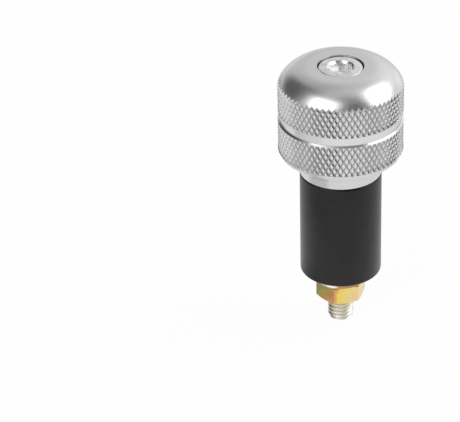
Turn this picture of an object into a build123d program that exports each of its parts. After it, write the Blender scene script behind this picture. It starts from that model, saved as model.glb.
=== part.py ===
from build123d import *
from math import cos, degrees, pi, radians, sin, sqrt, tan
import os

# Bar end weight: a knurled head, a collar and a rubber sleeve held together by one socket screw.
# Millimetres. The axis is Z with the dome up, and the end of the bar bears on the head at Z 0.

# Head
head_diameter = 28.0
head_height = 21.0
face_diameter = 14.6
dome_radius = 7.3
lip_height = 1.0
lip_inset = 0.5
groove_top = 10.5
groove_depth = 0.4
groove_step = 0.35
groove_shoulder = 0.1

# Diamond knurl
knurl_teeth = 66
knurl_depth = 0.53
knurl_angle = 30.0
knurl_overrun = 0.05
ring_wall = 1.0
ring_lap = 0.5

# Screw
thread_diameter = 5.87
screw_length = 59.0
screw_head_diameter = 10.0
screw_head_height = 6.0
screw_head_edge = 0.5
socket_width = 5.0
socket_depth = 3.0
socket_point = 0.7
socket_mouth_diameter = 6.1
socket_turn = 36.5
tip_chamfer = 0.7

# Pieces threaded on the screw
plug_diameter = 18.4
collar_length = 5.3
collar_edge = 0.25
sleeve_length = 25.4
sleeve_edge = 0.5
washer_diameter = 12.0
washer_thickness = 2.5
washer_edge = 0.4
nut_width = 10.0
nut_height = 5.0
nut_face_diameter = 8.9
nut_chamfer_angle = 30.0
nut_turn = 14.5

# Clearances, and the shallow seat that takes the collar
screw_sink = 0.2
screw_head_play = 0.2
shank_play = 0.265
thread_play = 0.03
seat_depth = 0.4
seat_play = 0.5

# Radii
head_radius = head_diameter / 2
knurl_root = head_radius - knurl_depth
ring_radius = knurl_root - ring_wall
core_radius = knurl_root - ring_lap
face_radius = face_diameter / 2
plug_radius = plug_diameter / 2
thread_radius = thread_diameter / 2
bore_radius = thread_radius + shank_play
counterbore_radius = screw_head_diameter / 2 + screw_head_play
socket_radius = socket_width / 2
socket_mouth_radius = socket_mouth_diameter / 2
socket_mouth_depth = socket_mouth_radius - socket_radius
nut_face_radius = nut_face_diameter / 2
nut_reach = 1.01 * nut_width / sqrt(3)
nut_drop = (nut_reach - nut_face_radius) * tan(radians(nut_chamfer_angle))

# Heights
screw_top = head_height - screw_sink
screw_seat = screw_top - screw_head_height
screw_tip = screw_seat - screw_length
sleeve_top = -collar_length
washer_top = sleeve_top - sleeve_length
nut_top = washer_top - washer_thickness
nut_bottom = nut_top - nut_height

# The dome is an arc tangent to the flat face. Each band is as tall as the upper one needs to be
# for its grooves to run out on the dome.
arc_height = head_height - dome_radius
blank_radius = face_radius + dome_radius
band_run = sqrt(dome_radius**2 - (knurl_root - face_radius) ** 2)
band_height = arc_height + band_run + knurl_overrun - groove_top
band_top = groove_top + band_height
groove_bottom = lip_height + band_height
cap_radius = face_radius + sqrt(dome_radius**2 - (band_top - arc_height) ** 2)

# Diamond knurl: what a left-hand and a right-hand twist of the same toothed section have in common
with BuildSketch() as toothed_section:
    with BuildLine():
        corners = []
        for tooth in range(knurl_teeth):
            crest = 2 * pi * tooth / knurl_teeth
            root = crest + pi / knurl_teeth
            corners.append((head_radius * cos(crest), head_radius * sin(crest)))
            corners.append((knurl_root * cos(root), knurl_root * sin(root)))
        Polyline(*corners, close=True)
    make_face()


def twisted_teeth(hand):
    """The toothed section drawn up through one band's height, turning with the given hand."""
    turn = degrees(band_height * tan(radians(knurl_angle)) / head_radius)
    top = (0, 0, band_height)
    return Solid.extrude_linear_with_rotation(toothed_section.face(), (0, 0, 0), top, hand * turn)


with BuildPart() as knurled_ring:
    add(twisted_teeth(1))
    add(twisted_teeth(-1), mode=Mode.INTERSECT)
    Cylinder(ring_radius, band_height, align=(Align.CENTER, Align.CENTER, Align.MIN), mode=Mode.SUBTRACT)

# Upper ring, cut off by the dome
with BuildPart() as domed_ring:
    with BuildSketch(Plane.XZ):
        with BuildLine():
            Polyline((0, band_top), (0, groove_top), (blank_radius, groove_top), (blank_radius, arc_height))
            RadiusArc((blank_radius, arc_height), (cap_radius, band_top), -dome_radius)
            Line((cap_radius, band_top), (0, band_top))
        make_face()
    revolve(axis=Axis.Z)
    with Locations((0, 0, groove_top)):
        add(knurled_ring.part, mode=Mode.INTERSECT)

# Head: bevelled lip, plain groove and dome in one core, bored for the screw, with a knurled ring
# on each side of the groove
with BuildPart() as head:
    with BuildSketch(Plane.XZ):
        with BuildLine():
            Polyline(
                (0, head_height),
                (0, 0),
                (head_radius - lip_inset, 0),
                (head_radius, lip_height),
                (core_radius, lip_height),
                (core_radius, groove_bottom),
                (head_radius, groove_bottom),
                (head_radius - groove_depth, groove_bottom + groove_step),
                (head_radius - groove_shoulder, groove_top),
                (core_radius, groove_top),
                (core_radius, band_top),
                (cap_radius, band_top),
            )
            RadiusArc((cap_radius, band_top), (face_radius, head_height), -dome_radius)
            Line((face_radius, head_height), (0, head_height))
        make_face()
    revolve(axis=Axis.Z)
    with Locations((0, 0, head_height)):
        CounterBoreHole(bore_radius, counterbore_radius, head_height - screw_seat)
    with BuildSketch():
        Circle(plug_radius + seat_play)
    extrude(amount=seat_depth, mode=Mode.SUBTRACT)
    with Locations((0, 0, lip_height)):
        add(knurled_ring.part, clean=False)
    add(domed_ring.part, clean=False)
head.part.label = "head"

# Collar: turned ring between the head and the rubber
with BuildPart() as collar:
    with BuildSketch(Plane.XY.offset(sleeve_top)):
        Circle(plug_radius)
        Circle(bore_radius, mode=Mode.SUBTRACT)
    extrude(amount=collar_length + seat_depth)
    chamfer(collar.edges().filter_by(GeomType.CIRCLE).sort_by(SortBy.RADIUS)[-2:], collar_edge)
collar.part.label = "collar"

# Rubber sleeve: expands in the bar when the nut is drawn up
with BuildPart() as rubber_sleeve:
    with BuildSketch(Plane.XY.offset(washer_top)):
        Circle(plug_radius)
        Circle(bore_radius, mode=Mode.SUBTRACT)
    extrude(amount=sleeve_length)
    rims = rubber_sleeve.edges().filter_by(GeomType.CIRCLE).sort_by(SortBy.RADIUS)[-2:]
    chamfer(rims, sleeve_edge)
rubber_sleeve.part.label = "rubber_sleeve"

# Washer: its upper rim is broken
with BuildPart() as washer:
    with BuildSketch(Plane.XY.offset(nut_top)):
        Circle(washer_diameter / 2)
        Circle(bore_radius, mode=Mode.SUBTRACT)
    extrude(amount=washer_thickness)
    outer_rims = washer.edges().filter_by(GeomType.CIRCLE).sort_by(SortBy.RADIUS)[-2:]
    chamfer(outer_rims.sort_by(Axis.Z)[-1], washer_edge)
washer.part.label = "washer"

# Hex nut with both ends turned to a cone across the corners
with BuildPart() as hex_nut:
    with BuildSketch(Plane.XY.offset(nut_bottom)):
        RegularPolygon(nut_width / 2, 6, major_radius=False, rotation=nut_turn)
        Circle(thread_radius + thread_play, mode=Mode.SUBTRACT)
    extrude(amount=nut_height)
    with BuildSketch(Plane.XZ):
        with BuildLine():
            Polyline(
                (0, nut_top),
                (nut_face_radius, nut_top),
                (nut_reach, nut_top - nut_drop),
                (nut_reach, nut_bottom + nut_drop),
                (nut_face_radius, nut_bottom),
                (0, nut_bottom),
                close=True,
            )
        make_face()
    revolve(axis=Axis.Z, mode=Mode.INTERSECT)
hex_nut.part.label = "hex_nut"

# Socket head cap screw
with BuildPart() as cap_screw:
    with BuildSketch(Plane.XY.offset(screw_seat)):
        Circle(screw_head_diameter / 2)
    extrude(amount=screw_head_height)
    top_rim = cap_screw.edges().filter_by(GeomType.CIRCLE).sort_by(Axis.Z)[-1]
    chamfer(top_rim, screw_head_edge)
    with BuildSketch(Plane.XY.offset(screw_tip)):
        Circle(thread_radius)
    extrude(amount=screw_length)
    chamfer(cap_screw.edges().filter_by(GeomType.CIRCLE).sort_by(Axis.Z)[0], tip_chamfer)
    with BuildSketch(Plane.XY.offset(screw_top - socket_depth)):
        RegularPolygon(socket_radius, 6, major_radius=False, rotation=socket_turn)
    extrude(amount=socket_depth, mode=Mode.SUBTRACT)
    above = (Align.CENTER, Align.CENTER, Align.MIN)
    below = (Align.CENTER, Align.CENTER, Align.MAX)
    with Locations((0, 0, screw_top - socket_depth)):
        Cone(0, socket_radius, socket_point, align=below, mode=Mode.SUBTRACT)
    with Locations((0, 0, screw_top - socket_mouth_depth)):
        Cone(socket_radius, socket_mouth_radius, socket_mouth_depth, align=above, mode=Mode.SUBTRACT)
cap_screw.part.label = "cap_screw"

os.makedirs("parts", exist_ok=True)
export_step(head.part, "parts/head.step")
export_step(collar.part, "parts/collar.step")
export_step(rubber_sleeve.part, "parts/rubber_sleeve.step")
export_step(washer.part, "parts/washer.step")
export_step(hex_nut.part, "parts/hex_nut.step")
export_step(cap_screw.part, "parts/cap_screw.step")
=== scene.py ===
from math import atan2, cos, pi, radians, sin

import bmesh
import bpy
from mathutils import Matrix, Vector


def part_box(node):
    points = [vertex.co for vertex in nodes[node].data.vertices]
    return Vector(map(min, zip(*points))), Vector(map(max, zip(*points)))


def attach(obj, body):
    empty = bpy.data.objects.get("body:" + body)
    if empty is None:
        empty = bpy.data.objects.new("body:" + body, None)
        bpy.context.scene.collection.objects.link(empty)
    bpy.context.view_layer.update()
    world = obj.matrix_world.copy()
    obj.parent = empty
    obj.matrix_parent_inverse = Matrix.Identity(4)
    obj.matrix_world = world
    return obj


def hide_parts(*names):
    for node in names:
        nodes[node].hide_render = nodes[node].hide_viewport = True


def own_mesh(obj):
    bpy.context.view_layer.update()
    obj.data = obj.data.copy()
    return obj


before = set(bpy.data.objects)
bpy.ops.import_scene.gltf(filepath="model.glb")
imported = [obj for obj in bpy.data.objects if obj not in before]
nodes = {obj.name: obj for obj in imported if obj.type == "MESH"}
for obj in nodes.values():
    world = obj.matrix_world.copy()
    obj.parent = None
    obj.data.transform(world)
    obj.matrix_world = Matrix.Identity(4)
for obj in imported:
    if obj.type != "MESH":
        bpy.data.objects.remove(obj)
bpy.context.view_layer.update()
scene = bpy.context.scene

# Lengths are in metres, and what is given in millimetres is multiplied by this
MM = 0.001


# Nodes for the finishes

def node_in(tree, kind, **settings):
    """A new node of that kind, with the given settings."""
    made = tree.nodes.new(kind)
    for name, value in settings.items():
        setattr(made, name, value)
    return made


def place_on_piece(tree, stretch=(1, 1, 1)):
    """The point on the piece, stretched along its axes."""
    coord = node_in(tree, "ShaderNodeTexCoord")
    mapping = node_in(tree, "ShaderNodeMapping")
    mapping.inputs["Scale"].default_value = stretch
    tree.links.new(coord.outputs["Object"], mapping.inputs["Vector"])
    return mapping.outputs["Vector"]


def grain(tree, scale, detail=3.0, rough=0.55, stretch=(1, 1, 1)):
    """Noise whose grain is 1/scale metres across."""
    noise = node_in(tree, "ShaderNodeTexNoise")
    noise.inputs["Scale"].default_value = scale
    noise.inputs["Detail"].default_value = detail
    noise.inputs["Roughness"].default_value = rough
    tree.links.new(place_on_piece(tree, stretch), noise.inputs["Vector"])
    return noise.outputs["Fac"]


def spread(tree, value, low, high, to_low, to_high, smooth=False):
    """Takes value from low..high to to_low..to_high, and holds it there outside them."""
    remap = node_in(tree, "ShaderNodeMapRange")
    if smooth:
        remap.interpolation_type = "SMOOTHSTEP"
    remap.inputs["From Min"].default_value = low
    remap.inputs["From Max"].default_value = high
    remap.inputs["To Min"].default_value = to_low
    remap.inputs["To Max"].default_value = to_high
    tree.links.new(value, remap.inputs["Value"])
    return remap.outputs["Result"]


def rising(tree, value, place, fade):
    """0 up to a place and 1 from a fade beyond it, both in millimetres."""
    return spread(tree, value, place * MM, (place + fade) * MM, 0, 1)


def falling(tree, value, place, fade, smooth=False):
    """1 up to a place and 0 from a fade beyond it, both in millimetres."""
    return spread(tree, value, place * MM, (place + fade) * MM, 1, 0, smooth)


def varied(tree, noise, low, high, mostly=(0.3, 0.7)):
    """Takes noise, which lies mostly between those two values, to low..high."""
    return spread(tree, noise, *mostly, low, high)


def combine(tree, first, second, operation="ADD"):
    """A sum, or another operation, of two values; each is a socket or a number."""
    made = node_in(tree, "ShaderNodeMath", operation=operation)
    for socket, value in zip(made.inputs, (first, second)):
        if isinstance(value, (int, float)):
            socket.default_value = value
        else:
            tree.links.new(value, socket)
    return made.outputs["Value"]


def times(tree, first, second):
    """The product of two values."""
    return combine(tree, first, second, "MULTIPLY")


def tints(tree, value, stops):
    """A run of colours along value, from (place, colour) stops."""
    ramp = node_in(tree, "ShaderNodeValToRGB")
    ramp.color_ramp.interpolation = "EASE"
    points = ramp.color_ramp.elements
    while len(points) < len(stops):
        points.new(0.5)
    for point, (place, colour) in zip(points, stops):
        point.position = place
        point.color = (*colour, 1)
    tree.links.new(value, ramp.inputs["Fac"])
    return ramp.outputs["Color"]


def mixed(tree, share, first, second):
    """first where share is 0 and second where it is 1; each is a socket or a colour."""
    mix = node_in(tree, "ShaderNodeMix", data_type="RGBA")
    tree.links.new(share, mix.inputs["Factor"])
    for socket, value in ((mix.inputs[6], first), (mix.inputs[7], second)):
        if isinstance(value, tuple):
            socket.default_value = (*value, 1)
        else:
            tree.links.new(value, socket)
    return mix.outputs[2]


def relief(tree, height, depth, strength, under=None):
    """Bump of the given depth in metres, over another bump if there is one."""
    bump = node_in(tree, "ShaderNodeBump")
    bump.inputs["Strength"].default_value = strength
    bump.inputs["Distance"].default_value = depth
    tree.links.new(height, bump.inputs["Height"])
    if under is not None:
        tree.links.new(under, bump.inputs["Normal"])
    return bump.outputs["Normal"]


def blank_finish(name, metal, rough):
    """A material, its node tree and its shader. rough is its mean roughness."""
    made = bpy.data.materials.new(name)
    made.use_nodes = True
    shader = made.node_tree.nodes["Principled BSDF"]
    shader.inputs["Metallic"].default_value = metal
    shader.inputs["Roughness"].default_value = rough
    return made, made.node_tree, shader


def distance_from_axis(tree):
    """How far the point on the piece is from the axis."""
    length = node_in(tree, "ShaderNodeVectorMath", operation="LENGTH")
    tree.links.new(place_on_piece(tree, (1, 1, 0)), length.inputs[0])
    return length.outputs["Value"]


def outward(tree):
    """The direction straight out from the axis."""
    flat = node_in(tree, "ShaderNodeVectorMath", operation="NORMALIZE")
    tree.links.new(place_on_piece(tree, (1, 1, 0)), flat.inputs[0])
    turn = node_in(tree, "ShaderNodeVectorTransform", vector_type="NORMAL")
    turn.convert_from = "OBJECT"
    turn.convert_to = "WORLD"
    tree.links.new(flat.outputs[0], turn.inputs[0])
    return turn.outputs[0]


def along_axis(tree, axis):
    """The place on the piece along X, Y or Z."""
    parts = node_in(tree, "ShaderNodeSeparateXYZ")
    tree.links.new(place_on_piece(tree), parts.inputs[0])
    return parts.outputs[axis]


# The head's form in millimetres: heights along its axis, then distances from it
lip_top = 1.0
groove_middle = 9.326
groove_reach = 1.18
worn_top = 16.3
knurl_top = 16.6
outer_face = 13.3
knurl_root = 13.48
worn_tip = 13.70


# Satin anodised aluminium: even fine grain. In the knurl the grooves are painted a little darker, as
# painted shade; the faces are smoother, and the tips are worn flat, so that they shine as the plain
# cylinder would.
def satin_aluminium():
    made, tree, shader = blank_finish("satin_aluminium", metal=1.0, rough=0.25)
    shader.inputs["Specular Tint"].default_value = (0.75, 0.75, 0.75, 1)
    cloud = grain(tree, 260, detail=2)
    metal = mixed(tree, cloud, (0.69, 0.69, 0.70), (0.73, 0.73, 0.735))
    radius = distance_from_axis(tree)
    height = along_axis(tree, "Z")
    above_lip = rising(tree, height, lip_top, fade=0.1)
    knurled = times(tree, above_lip, falling(tree, height, knurl_top, fade=0.6))
    in_groove = times(tree, falling(tree, radius, knurl_root, fade=0.14, smooth=True), knurled)
    # Painted shade: the base colour is darkened in the knurl's grooves, where shade falls
    painted_groove_shade = times(tree, in_groove, 0.45)
    colour = mixed(tree, painted_groove_shade, metal, (0.30, 0.30, 0.31))
    tree.links.new(colour, shader.inputs["Base Color"])
    polish = varied(tree, grain(tree, 1800), 0.27, 0.33)
    outside = times(tree, rising(tree, radius, outer_face, fade=0.15), knurled)
    burnish = times(tree, outside, 0.09)
    tree.links.new(combine(tree, polish, burnish, "SUBTRACT"), shader.inputs["Roughness"])
    from_groove = combine(tree, combine(tree, height, groove_middle * MM, "SUBTRACT"), 0, "ABSOLUTE")
    on_band = times(tree, above_lip, rising(tree, from_groove, groove_reach, fade=0.08))
    on_band = times(tree, on_band, falling(tree, height, worn_top, fade=0.3))
    worn = times(tree, rising(tree, radius, worn_tip, fade=0.07), on_band)
    level_tip = node_in(tree, "ShaderNodeMix", data_type="VECTOR")
    face = node_in(tree, "ShaderNodeNewGeometry")
    tree.links.new(worn, level_tip.inputs["Factor"])
    tree.links.new(face.outputs["Normal"], level_tip.inputs[4])
    tree.links.new(outward(tree), level_tip.inputs[5])
    fine = grain(tree, 2600, detail=2)
    surface = relief(tree, fine, depth=0.003 * MM, strength=0.4, under=level_tip.outputs[1])
    tree.links.new(surface, shader.inputs["Normal"])
    return made


# Turned aluminium: fine tool lines round the axis
def turned_aluminium():
    made, tree, shader = blank_finish("turned_aluminium", metal=1.0, rough=0.22)
    lines = grain(tree, 1, detail=4, rough=0.7, stretch=(60, 60, 9000))
    cloud = grain(tree, 300, detail=2)
    ridges = varied(tree, lines, 0, 1, mostly=(0.35, 0.65))
    metal = mixed(tree, ridges, (0.60, 0.60, 0.59), (0.72, 0.72, 0.71))
    colour = mixed(tree, times(tree, cloud, 0.2), metal, (0.50, 0.49, 0.48))
    tree.links.new(colour, shader.inputs["Base Color"])
    tree.links.new(varied(tree, lines, 0.18, 0.30), shader.inputs["Roughness"])
    tree.links.new(relief(tree, lines, depth=0.006 * MM, strength=0.6), shader.inputs["Normal"])
    return made


# Black rubber: charcoal with a fine matt skin, paler dust caught in it
def black_rubber():
    made, tree, shader = blank_finish("black_rubber", metal=0.0, rough=0.5)
    shader.inputs["IOR"].default_value = 1.38
    skin = grain(tree, 3200, detail=4)
    dust = grain(tree, 420, detail=5, rough=0.7)
    dusty = varied(tree, dust, 0, 1, mostly=(0.45, 0.8))
    colour = mixed(tree, dusty, (0.006, 0.0058, 0.0055), (0.013, 0.0125, 0.012))
    tree.links.new(colour, shader.inputs["Base Color"])
    tree.links.new(varied(tree, skin, 0.27, 0.37), shader.inputs["Roughness"])
    coarse = relief(tree, grain(tree, 700, detail=3), depth=0.02 * MM, strength=0.3)
    surface = relief(tree, skin, depth=0.012 * MM, strength=0.4, under=coarse)
    tree.links.new(surface, shader.inputs["Normal"])
    return made


# Where the nut's film of colour and its painted reflection begin and end on a slant across it, in
# millimetres
film_and_reflection_start = 12.4
film_and_reflection_end = 23.4
# How far the washer's painted highlight and painted shade run to each side of its axis
glint_and_shade_reach = 5.0


# Yellow passivated zinc in its own film hues, laid brown and olive at one side, straw yellow and paler
# towards the other; that one side is darker and the other paler is painted reflection
def yellow_zinc():
    made, tree, shader = blank_finish("yellow_zinc", metal=1.0, rough=0.3)
    drift = varied(tree, grain(tree, 330, detail=3, rough=0.5), -0.10, 0.10)
    parts = node_in(tree, "ShaderNodeSeparateXYZ")
    tree.links.new(place_on_piece(tree, (1, 1, 0.5)), parts.inputs[0])
    # The slant puts the darker hues on one side and the paler on the other: painted reflection over
    # the film's own hues
    slant = combine(tree, parts.outputs["X"], parts.outputs["Z"], "SUBTRACT")
    along = spread(tree, slant, film_and_reflection_start * MM, film_and_reflection_end * MM, 0.08, 0.92)
    surface_tint = tints(tree, combine(tree, along, drift), [
        (0.00, (0.56, 0.36, 0.15)),
        (0.12, (0.45, 0.46, 0.16)),
        (0.26, (0.62, 0.50, 0.12)),
        (0.36, (0.76, 0.34, 0.14)),
        (0.46, (0.92, 0.70, 0.13)),
        (0.62, (0.88, 0.72, 0.26)),
        (0.80, (0.90, 0.66, 0.34)),
        (1.00, (0.84, 0.72, 0.48)),
    ])
    speck = grain(tree, 2600, detail=4, rough=0.7)
    rubbed = varied(tree, speck, 0, 0.5, mostly=(0.4, 0.75))
    colour = mixed(tree, rubbed, surface_tint, (0.50, 0.38, 0.18))
    tree.links.new(colour, shader.inputs["Base Color"])
    tree.links.new(varied(tree, speck, 0.22, 0.38), shader.inputs["Roughness"])
    wavy = relief(tree, grain(tree, 500, detail=3), depth=0.03 * MM, strength=0.5)
    surface = relief(tree, speck, depth=0.010 * MM, strength=0.5, under=wavy)
    tree.links.new(surface, shader.inputs["Normal"])
    return made


# The washer's colour: pale on one side as a painted highlight, brown on the other as painted shade
def zinc_painted_glint_and_shade():
    made, tree, shader = blank_finish("zinc_painted_glint_and_shade", metal=1.0, rough=0.3)
    drift = varied(tree, grain(tree, 330, detail=3, rough=0.5), -0.06, 0.06)
    along = spread(tree, along_axis(tree, "X"), -glint_and_shade_reach * MM, glint_and_shade_reach * MM, 0, 1)
    surface_tint = tints(tree, combine(tree, along, drift), [
        (0.00, (0.97, 0.92, 0.80)),
        (0.34, (0.97, 0.92, 0.80)),
        (0.43, (0.50, 0.27, 0.14)),
        (0.82, (0.40, 0.24, 0.13)),
        (1.00, (0.86, 0.68, 0.36)),
    ])
    tree.links.new(surface_tint, shader.inputs["Base Color"])
    speck = grain(tree, 2600, detail=4, rough=0.7)
    tree.links.new(varied(tree, speck, 0.22, 0.38), shader.inputs["Roughness"])
    tree.links.new(relief(tree, speck, depth=0.010 * MM, strength=0.5), shader.inputs["Normal"])
    return made


# The height on the screw where its head's finish takes over from its thread's, and how far the
# socket's finish reaches from the axis, in millimetres
head_finish_start = 10
socket_finish_reach = 2.9


# Bright zinc on steel: a cool white metal over a forged, slightly uneven surface. The thread is a
# warmer white, and the socket has one even shade.
def bright_zinc():
    made, tree, shader = blank_finish("bright_zinc", metal=1.0, rough=0.24)
    cloud = grain(tree, 520, detail=3)
    surface_tint = tints(tree, varied(tree, cloud, 0, 1), [
        (0.0, (0.56, 0.61, 0.63)),
        (0.5, (0.78, 0.79, 0.78)),
        (1.0, (0.78, 0.75, 0.68)),
    ])
    in_head = rising(tree, along_axis(tree, "Z"), head_finish_start, fade=2)
    near_axis = falling(tree, distance_from_axis(tree), socket_finish_reach, fade=0.2)
    in_socket = times(tree, near_axis, in_head)
    warm = mixed(tree, cloud, (0.74, 0.72, 0.65), (0.84, 0.82, 0.75))
    colour = mixed(tree, in_head, warm, mixed(tree, in_socket, surface_tint, (0.84, 0.84, 0.84)))
    tree.links.new(colour, shader.inputs["Base Color"])
    speck = grain(tree, 2400, detail=4, rough=0.7)
    dulling = spread(tree, in_head, 0, 1, 0.10, 0)
    polish = combine(tree, varied(tree, speck, 0.16, 0.34), dulling)
    tree.links.new(polish, shader.inputs["Roughness"])
    wavy = relief(tree, cloud, depth=0.05 * MM, strength=0.45)
    surface = relief(tree, speck, depth=0.02 * MM, strength=0.35, under=wavy)
    tree.links.new(surface, shader.inputs["Normal"])
    return made


finishes = {
    "head": satin_aluminium(),
    "collar": turned_aluminium(),
    "rubber_tube": black_rubber(),
    "hex_nut": yellow_zinc(),
    # The washer's finish carries a painted highlight on one side and painted shade on the other
    "washer": zinc_painted_glint_and_shade(),
    "socket_screw": bright_zinc(),
}


def refinish(node):
    """Gives a CAD node's own slots its finish."""
    slots = nodes[node].data.materials
    if not slots:
        slots.append(finishes[node])
    for index in range(len(slots)):
        slots[index] = finishes[node]


for node in ("head", "collar", "washer", "hex_nut"):
    refinish(node)


# Meshes

def piece_from(bm, name, crease):
    """Turns a bmesh into a smooth-shaded piece with its finish on. It is sharp where its faces turn by
    more than crease degrees."""
    bmesh.ops.recalc_face_normals(bm, faces=bm.faces)
    mesh = bpy.data.meshes.new(name)
    bm.to_mesh(mesh)
    bm.free()
    mesh.polygons.foreach_set("use_smooth", [True] * len(mesh.polygons))
    mesh.set_sharp_from_angle(angle=radians(crease))
    mesh.materials.append(finishes[name])
    made = bpy.data.objects.new(name, mesh)
    scene.collection.objects.link(made)
    return made


def turn_profile(bm, profile, steps):
    """Spins a closed row of (radius, height) points, in millimetres, a full turn about the axis."""
    points = [bm.verts.new((radius * MM, 0, height * MM)) for radius, height in profile]
    lines = [bm.edges.new(pair) for pair in zip(points, points[1:] + points[:1])]
    bmesh.ops.spin(
        bm,
        geom=points + lines,
        cent=(0, 0, 0),
        axis=(0, 0, 1),
        angle=2 * pi,
        steps=steps,
        use_merge=True,
    )


def edges_round(bm, radius, height):
    """The edges of the circle of that radius and height, in millimetres."""
    near = 0.01 * MM
    found = []
    for edge in bm.edges:
        if all(
            abs(vert.co.z - height * MM) < near and abs(vert.co.xy.length - radius * MM) < near
            for vert in edge.verts
        ):
            found.append(edge)
    return found


# Rubber sleeve
sleeve_low, sleeve_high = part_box("rubber_sleeve")
sleeve_radius = sleeve_high.x / MM
sleeve_bore = 3.2
sleeve_edge = 0.45
sleeve_bottom = sleeve_low.z / MM
sleeve_top = sleeve_high.z / MM
bm = bmesh.new()
turn_profile(
    bm,
    [
        (sleeve_bore, sleeve_bottom),
        (sleeve_radius, sleeve_bottom),
        (sleeve_radius, sleeve_top),
        (sleeve_bore, sleeve_top),
    ],
    steps=144,
)
outer_rims = edges_round(bm, sleeve_radius, sleeve_bottom) + edges_round(bm, sleeve_radius, sleeve_top)
bmesh.ops.bevel(
    bm,
    geom=outer_rims,
    offset=sleeve_edge * MM,
    offset_type="OFFSET",
    segments=4,
    profile=0.5,
    affect="EDGES",
    material=-1,
)
rubber_tube = piece_from(bm, "rubber_tube", crease=40)
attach(rubber_tube, "weight")
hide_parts("rubber_sleeve")
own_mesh(rubber_tube)

# Socket head cap screw
screw_low, screw_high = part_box("cap_screw")
screw_top = screw_high.z / MM
screw_tip = screw_low.z / MM
screw_head_radius = screw_high.x / MM
screw_head_height = 6.0
screw_head_edge = 0.5
edge_steps = 5
tip_chamfer = 0.7
socket_radius = 2.5
socket_mouth = 3.05
socket_depth = 3.0
socket_point = 0.7
socket_point_radius = 0.05
socket_inset = 0.02
socket_turn = radians(36.5)
screw_segments = 72

# Thread of the screw
thread_radius = 5.87 / 2
thread_pitch = 1.0
thread_length = 24
thread_depth = 0.6134 * thread_pitch
thread_round = 0.03
thread_top = screw_tip + thread_length
thread_root = thread_radius - thread_depth
thread_steps = 48
cut_tolerance = 0.0001 * MM


def draw_on(bm, lines, place):
    """Extrudes a ring of edges to a new one. place(vert) gives a point's radius and height, in
    millimetres."""
    made = bmesh.ops.extrude_edge_only(bm, edges=lines)["geom"]
    points = {item for item in made if isinstance(item, bmesh.types.BMVert)}
    for vert in points:
        radius, height = place(vert)
        vert.co.xy *= radius * MM / vert.co.xy.length
        vert.co.z = height * MM
    edges = [item for item in made if isinstance(item, bmesh.types.BMEdge)]
    return [edge for edge in edges if points.issuperset(edge.verts)]


def round_at(radius, height):
    """The same radius and height for every point of a ring."""
    return lambda vert: (radius, height)


def hexagon_reach(vert):
    """How far the socket's side is from the axis in the direction of the point, in millimetres."""
    angle = (atan2(vert.co.y, vert.co.x) - socket_turn) % (pi / 3)
    return socket_radius / cos(angle - pi / 6)


def sloping_mouth(vert):
    """Where the socket's bevelled mouth starts on its side, for draw_on."""
    reach = hexagon_reach(vert)
    return reach, screw_top - socket_mouth + reach


def slice_at(bm, height, facing=1, clear=False):
    """Cuts the faces at a height in millimetres, up or down by facing, and gives the cut's edges. With
    clear, what lies beyond the cut is dropped."""
    cut = bmesh.ops.bisect_plane(
        bm,
        geom=bm.verts[:] + bm.edges[:] + bm.faces[:],
        plane_co=(0, 0, height * MM),
        plane_no=(0, 0, facing),
        clear_outer=clear,
        dist=cut_tolerance,
    )
    return [item for item in cut["geom_cut"] if isinstance(item, bmesh.types.BMEdge)]


# The screw's head and shank, drawn from the bottom of the socket up, over the head and down
bm = bmesh.new()
socket_floor = screw_top - socket_depth
point_height = (socket_floor - socket_point) * MM
point_place = Matrix.Translation((0, 0, point_height)) @ Matrix.Rotation(socket_turn, 4, "Z")
bmesh.ops.create_circle(
    bm, cap_ends=True, radius=socket_point_radius * MM, segments=screw_segments, matrix=point_place
)
lines = draw_on(bm, bm.edges[:], round_at(socket_radius - socket_inset, socket_floor))
lines = draw_on(bm, lines, lambda vert: (hexagon_reach(vert), socket_floor))
lines = draw_on(bm, lines, sloping_mouth)
lines = draw_on(bm, lines, round_at(socket_mouth, screw_top))
for step in range(edge_steps + 1):
    lean = step * pi / (2 * edge_steps)
    inset = screw_head_edge * (1 - sin(lean))
    drop = screw_head_edge * (1 - cos(lean))
    lines = draw_on(bm, lines, round_at(screw_head_radius - inset, screw_top - drop))
lines = draw_on(bm, lines, round_at(screw_head_radius, screw_top - screw_head_height))
lines = draw_on(bm, lines, round_at(thread_radius, screw_top - screw_head_height))
lines = draw_on(bm, lines, round_at(thread_radius, thread_top))
bmesh.ops.edgeloop_fill(bm, edges=lines)

# Its thread: the form over one pitch, as radii and shares of the pitch, wound up the shank from a
# turn below the tip to a turn above its end, and cut off flat at both ends
winding = bmesh.new()
turns = round(thread_length / thread_pitch) + 2
form = [
    (thread_root, 0.0),
    (thread_root - thread_round, 0.125),
    (thread_root, 0.25),
    (thread_radius - thread_round, 0.53),
    (thread_radius, 0.57),
    (thread_radius, 0.68),
    (thread_radius - thread_round, 0.72),
    (thread_root, 1.0),
]
start = screw_tip - thread_pitch
points = []
for radius, rise in form:
    points.append(winding.verts.new((radius * MM, 0, (start + rise * thread_pitch) * MM)))
lines = [winding.edges.new(pair) for pair in zip(points, points[1:])]
bmesh.ops.spin(
    winding,
    geom=points + lines,
    cent=(0, 0, 0),
    axis=(0, 0, 1),
    dvec=(0, 0, thread_pitch * MM / thread_steps),
    angle=2 * pi * turns,
    steps=turns * thread_steps,
    use_merge=False,
)
bmesh.ops.remove_doubles(winding, verts=winding.verts, dist=0.002 * MM)
for height in (screw_tip + tip_chamfer, screw_tip + tip_chamfer / 2):
    slice_at(winding, height)
for height, facing in ((screw_tip, -1), (thread_top, 1)):
    bmesh.ops.edgeloop_fill(winding, edges=slice_at(winding, height, facing, clear=True))

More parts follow.
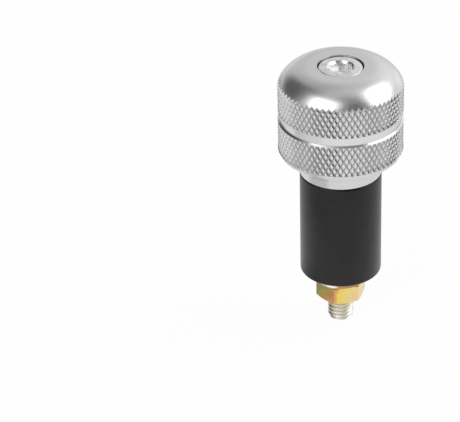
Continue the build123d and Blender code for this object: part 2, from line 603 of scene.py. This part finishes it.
# The bevel at its tip
for vert in winding.verts:
    above_tip = vert.co.z / MM - screw_tip
    most = thread_radius - tip_chamfer + above_tip
    reach = vert.co.xy.length / MM
    if reach > most:
        vert.co.xy *= most / reach
thread_mesh = bpy.data.meshes.new("thread_mesh")
winding.to_mesh(thread_mesh)
winding.free()
bm.from_mesh(thread_mesh)
bpy.data.meshes.remove(thread_mesh)
socket_screw = piece_from(bm, "socket_screw", crease=32)
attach(socket_screw, "screw")
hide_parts("cap_screw")


# Floor, lights and camera

def direction(azimuth, elevation):
    """The unit vector at an azimuth from the camera's side, positive to the right, and an elevation,
    both in degrees."""
    a, e = radians(azimuth), radians(elevation)
    return Vector((sin(a) * cos(e), -cos(a) * cos(e), sin(e)))


def white_paper():
    """Paper that is all white where it is seen or mirrored, apart from a matt share that takes the
    shadow. From below it is clear."""
    made = bpy.data.materials.new("white_paper")
    made.use_nodes = True
    tree = made.node_tree
    tree.nodes.clear()
    output = node_in(tree, "ShaderNodeOutputMaterial")
    matt = node_in(tree, "ShaderNodeBsdfDiffuse")
    matt.inputs["Color"].default_value = (0.9, 0.9, 0.9, 1)
    glow = node_in(tree, "ShaderNodeEmission")
    glow.inputs["Strength"].default_value = 1.0
    path = node_in(tree, "ShaderNodeLightPath")
    looked_at = combine(tree, path.outputs["Is Camera Ray"], path.outputs["Is Glossy Ray"], "MAXIMUM")
    looked_at = combine(tree, looked_at, path.outputs["Is Transmission Ray"], "MAXIMUM")
    glow_share = times(tree, looked_at, 0.96)
    both = node_in(tree, "ShaderNodeMixShader")
    tree.links.new(glow_share, both.inputs["Fac"])
    tree.links.new(matt.outputs[0], both.inputs[1])
    tree.links.new(glow.outputs[0], both.inputs[2])
    clear = node_in(tree, "ShaderNodeBsdfTransparent")
    side = node_in(tree, "ShaderNodeMixShader")
    face = node_in(tree, "ShaderNodeNewGeometry")
    tree.links.new(face.outputs["Backfacing"], side.inputs["Fac"])
    tree.links.new(both.outputs[0], side.inputs[1])
    tree.links.new(clear.outputs[0], side.inputs[2])
    tree.links.new(side.outputs[0], output.inputs["Surface"])
    return made


floor_reach = 2.0
floor_mesh = bmesh.new()
bmesh.ops.create_grid(floor_mesh, x_segments=1, y_segments=1, size=floor_reach)
bmesh.ops.translate(floor_mesh, verts=floor_mesh.verts, vec=(0, 0, screw_low.z))
ground = bpy.data.meshes.new("floor")
floor_mesh.to_mesh(ground)
floor_mesh.free()
ground.materials.append(white_paper())
floor = bpy.data.objects.new("floor", ground)
scene.collection.objects.link(floor)


def softbox(name, shape, azimuth, elevation, lean, distance, width, height, brightness):
    """An area light that faces the object from a direction, and leans to one side by some degrees. Its
    brightness is the same at any size."""
    lamp = bpy.data.lights.new(name, "AREA")
    lamp.shape = shape
    lamp.size = width
    lamp.size_y = height
    area = width * height * (pi / 4 if shape == "ELLIPSE" else 1)
    lamp.energy = brightness * pi * area
    made = bpy.data.objects.new(name, lamp)
    scene.collection.objects.link(made)
    toward = direction(azimuth, elevation)
    made.location = toward * distance
    upright = toward.to_track_quat("Z", "Y").to_matrix()
    made.rotation_euler = (Matrix.Rotation(radians(lean), 3, toward) @ upright).to_euler()
    made.visible_camera = False


softbox(
    "left_softbox", "RECTANGLE",
    azimuth=-37.5, elevation=42, lean=0, distance=0.6, width=0.47, height=0.41, brightness=2.0,
)
softbox(
    "right_softbox", "ELLIPSE",
    azimuth=91, elevation=38.5, lean=45, distance=0.6, width=0.70, height=0.49, brightness=2.0,
)


def flag(name, shade, between, near, far):
    """A plain card seen only in the object's reflections. It runs from one azimuth to the next, in
    degrees, and its two edges each have a distance from the axis and a height, in millimetres."""
    card = bmesh.new()
    first, last = between
    bmesh.ops.create_grid(card, x_segments=8, y_segments=1, size=1.0)
    for vert in card.verts:
        turn = first + (last - first) * (vert.co.x + 1) / 2
        reach, height = far if vert.co.y > 0 else near
        vert.co = direction(turn, 0) * reach * MM + Vector((0, 0, height * MM))
    mesh = bpy.data.meshes.new(name)
    card.to_mesh(mesh)
    card.free()
    made = bpy.data.objects.new(name, mesh)
    scene.collection.objects.link(made)
    board = bpy.data.materials.new(name + "_board")
    board.use_nodes = True
    shader = board.node_tree.nodes["Principled BSDF"]
    shader.inputs["Base Color"].default_value = (shade, shade, shade, 1)
    shader.inputs["Roughness"].default_value = 0.9
    mesh.materials.append(board)
    made.visible_camera = False
    made.visible_shadow = False
    made.visible_diffuse = False


card_lift = 0.4
on_floor = screw_tip + card_lift
flag("grey_card", 0.18, between=(-92, -34), near=(72, on_floor), far=(85, on_floor))
flag("back_card", 0.30, between=(-150, -118), near=(300, on_floor), far=(1400, on_floor))
flag("nut_card", 0.80, between=(-135, -55), near=(13, on_floor), far=(27, on_floor))
flag("right_card", 0.06, between=(36, 60), near=(60, 0), far=(60, 28))

# Studio round the object: a soft grey, paler behind and low down, and darker high up, at the left and
# at the right of the front. The camera sees it white.
world = bpy.data.worlds.new("studio")
scene.world = world
world.use_nodes = True
tree = world.node_tree
background = tree.nodes["Background"]
coord = node_in(tree, "ShaderNodeTexCoord")


def patch(azimuth, elevation, reach, inner, amount):
    """Light added, or taken away, round one direction of the studio. It is whole within the inner
    degrees from that direction, and fades out at its reach."""
    dot = node_in(tree, "ShaderNodeVectorMath", operation="DOT_PRODUCT")
    tree.links.new(coord.outputs["Generated"], dot.inputs[0])
    dot.inputs[1].default_value = direction(azimuth, elevation)
    rim, middle = cos(radians(reach)), cos(radians(inner))
    return spread(tree, dot.outputs["Value"], rim, middle, 0, amount, smooth=True)


# Each patch's azimuth, elevation, reach, inner degrees and amount
grey_level = 0.47
darkest_level = 0.09
behind = (180, 30, 90, 15, 0.27)
patches = [
    (150, 18, 34, 10, 0.31),
    (-116, 21, 33, 19, -0.58),
    (-104, 50, 28, 8, -0.30),
    (-142, 52, 30, 10, -0.22),
    (170, 64, 24, 8, -0.07),
    (-46, -2, 26, 12, 0.33),
    (12, -6, 22, 10, 0.36),
    (28, 44, 44, 14, -0.26),
    (36, 26, 29, 14, -0.34),
]
# Round the sides and the back, what the knurl's lower facets mirror
patches += [(azimuth, -12, 22, 13, 0.62) for azimuth in (-164, -134, -104, -74, 82, 112, 142)]
level = combine(tree, patch(*behind), grey_level)
for place in patches:
    level = combine(tree, level, patch(*place))
level = combine(tree, level, darkest_level, "MAXIMUM")
path = node_in(tree, "ShaderNodeLightPath")
level = combine(tree, level, path.outputs["Is Camera Ray"], "MAXIMUM")
tree.links.new(level, background.inputs["Strength"])
background.inputs["Color"].default_value = (1, 1, 1, 1)

# Camera: where the picture is taken from. It aims at a height on the axis, which shows at the given
# column and row. The lens and both of these are in the picture's pixels, other lengths in metres.
picture_width = 460
picture_height = 422
lens_length = 2661.5
aim_column = 340.7
aim_row = 202.9
aim_height = -14 * MM
camera_distance = 0.6
camera_elevation = 31.1
camera_data = bpy.data.cameras.new("camera")
camera_data.sensor_width = 36.0
camera_data.lens = lens_length / picture_width * camera_data.sensor_width
camera_data.shift_x = (picture_width / 2 - aim_column) / picture_width
camera_data.shift_y = (aim_row - picture_height / 2) / picture_width
camera_data.clip_start = 0.01
camera_data.clip_end = 20
camera = bpy.data.objects.new("camera", camera_data)
scene.collection.objects.link(camera)
camera.location = Vector((0, 0, aim_height)) + direction(0, camera_elevation) * camera_distance
camera.rotation_euler = (radians(90 - camera_elevation), 0, 0)
scene.camera = camera

scene.view_settings.view_transform = "Standard"
